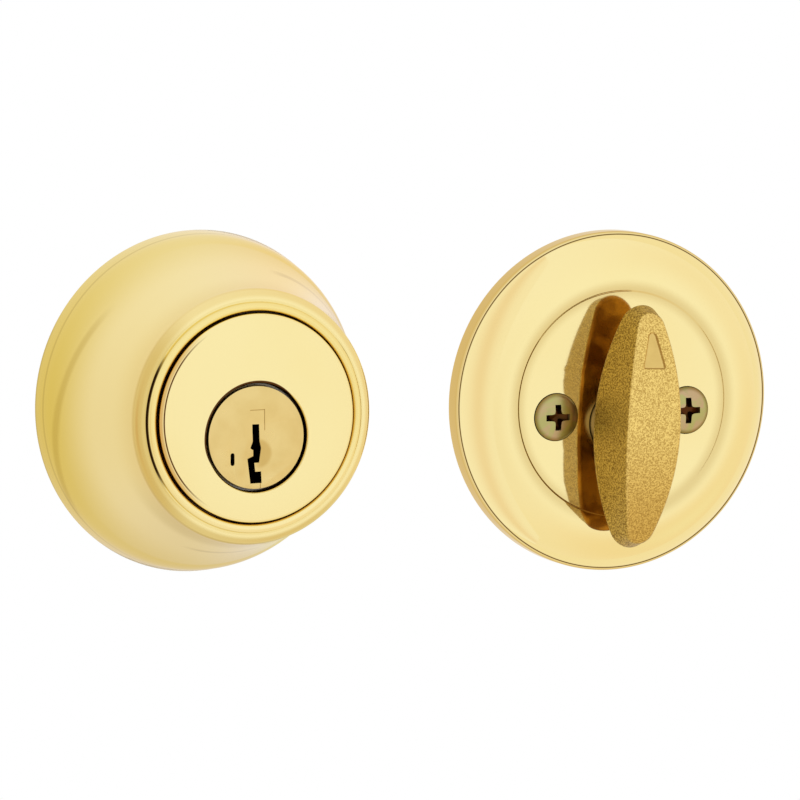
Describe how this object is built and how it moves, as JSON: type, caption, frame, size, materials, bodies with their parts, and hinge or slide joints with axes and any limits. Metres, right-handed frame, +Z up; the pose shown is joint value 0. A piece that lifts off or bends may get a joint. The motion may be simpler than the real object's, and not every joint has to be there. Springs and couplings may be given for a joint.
{
  "type": "deadbolt door lock",
  "caption": "Polished brass single-cylinder deadbolt laid out as its keyed outside half, its turn-piece inside half and the bolt latch behind the keyed half.",
  "frame": {"origin": "where the key plug's axis meets the outside face of the door, at the centre of the bore that the blade passes through", "axes": "+Z up; both halves face -Y; +X runs from the keyed half to the turn half, and the bolt is thrown towards -X"},
  "size_m": [0.1799, 0.0851, 0.0697],
  "materials": {
    "polished_brass": "polished and lacquered",
    "satin_brass": "satin",
    "hammered_brass": "cast, fine orange-peel texture, gold lacquer",
    "yellow_zinc": "yellow zinc plate with a faint rainbow",
    "zinc": "die-cast zinc, as cast",
    "zinc_steel": "bright zinc plate",
    "spring_steel": "spring steel",
    "hardened_steel": "hardened and blued"
  },
  "bodies": {
    "root": {"exterior_housing": "polished_brass", "face_disc": "polished_brass", "cylinder_body": "zinc", "hardened_ring": "hardened_steel", "anti_drill_pins": "hardened_steel", "exterior_back_plate": "zinc_steel", "back_plate_screws": "zinc_steel", "latch_faceplate": "polished_brass", "faceplate_backing": "zinc_steel", "latch_tube": "zinc_steel", "case_plate_outside": "zinc_steel", "case_plate_inside": "zinc_steel", "case_rivets": "zinc_steel", "detent_spring": "spring_steel", "interior_plate": "polished_brass", "interior_back_plate": "zinc_steel", "mounting_screws": "yellow_zinc", "wave_washer": "spring_steel"},
    "plug": {"key_plug": "satin_brass", "tumbler_wafers": "satin_brass", "wafer_springs": "spring_steel", "sidebar": "zinc_steel", "sidebar_springs": "spring_steel", "plug_clip": "spring_steel", "blade_driver": "satin_brass", "driver_screws": "zinc_steel"},
    "spindle": {"torque_blade": "zinc_steel", "latch_crank": "hardened_steel"},
    "bolt": {"bolt": "polished_brass", "saw_guard_pin": "hardened_steel", "bolt_tail": "zinc_steel", "tail_pin": "hardened_steel", "tail_rivets": "zinc_steel"},
    "turn": {"turn_knob": "hammered_brass", "turn_hub": "satin_brass", "hub_clip": "spring_steel"}
  },
  "joints": [
    {"name": "plug_turn", "type": "hinge", "parent": "root", "child": "plug", "pos_m": [0, 0, 0], "axis": [0, -1, 0], "range_deg": [0, 90]},
    {"name": "spindle_turn", "type": "hinge", "parent": "root", "child": "spindle", "pos_m": [0, 0, 0], "axis": [0, -1, 0], "range_deg": [0, 90]},
    {"name": "bolt_throw", "type": "slide", "parent": "root", "child": "bolt", "axis": [-1, 0, 0], "range_m": [0, 0.0254]},
    {"name": "turn_piece_turn", "type": "hinge", "parent": "root", "child": "turn", "pos_m": [0.0866, 0, -0.00405], "axis": [0, 1, 0], "range_deg": [0, 90]}
  ],
  "couplings": [
    {"joint": "spindle_turn", "follows": "plug_turn", "ratio": 1},
    {"joint": "bolt_throw", "follows": "plug_turn", "m_per_rad": 0.01617}
  ]
}
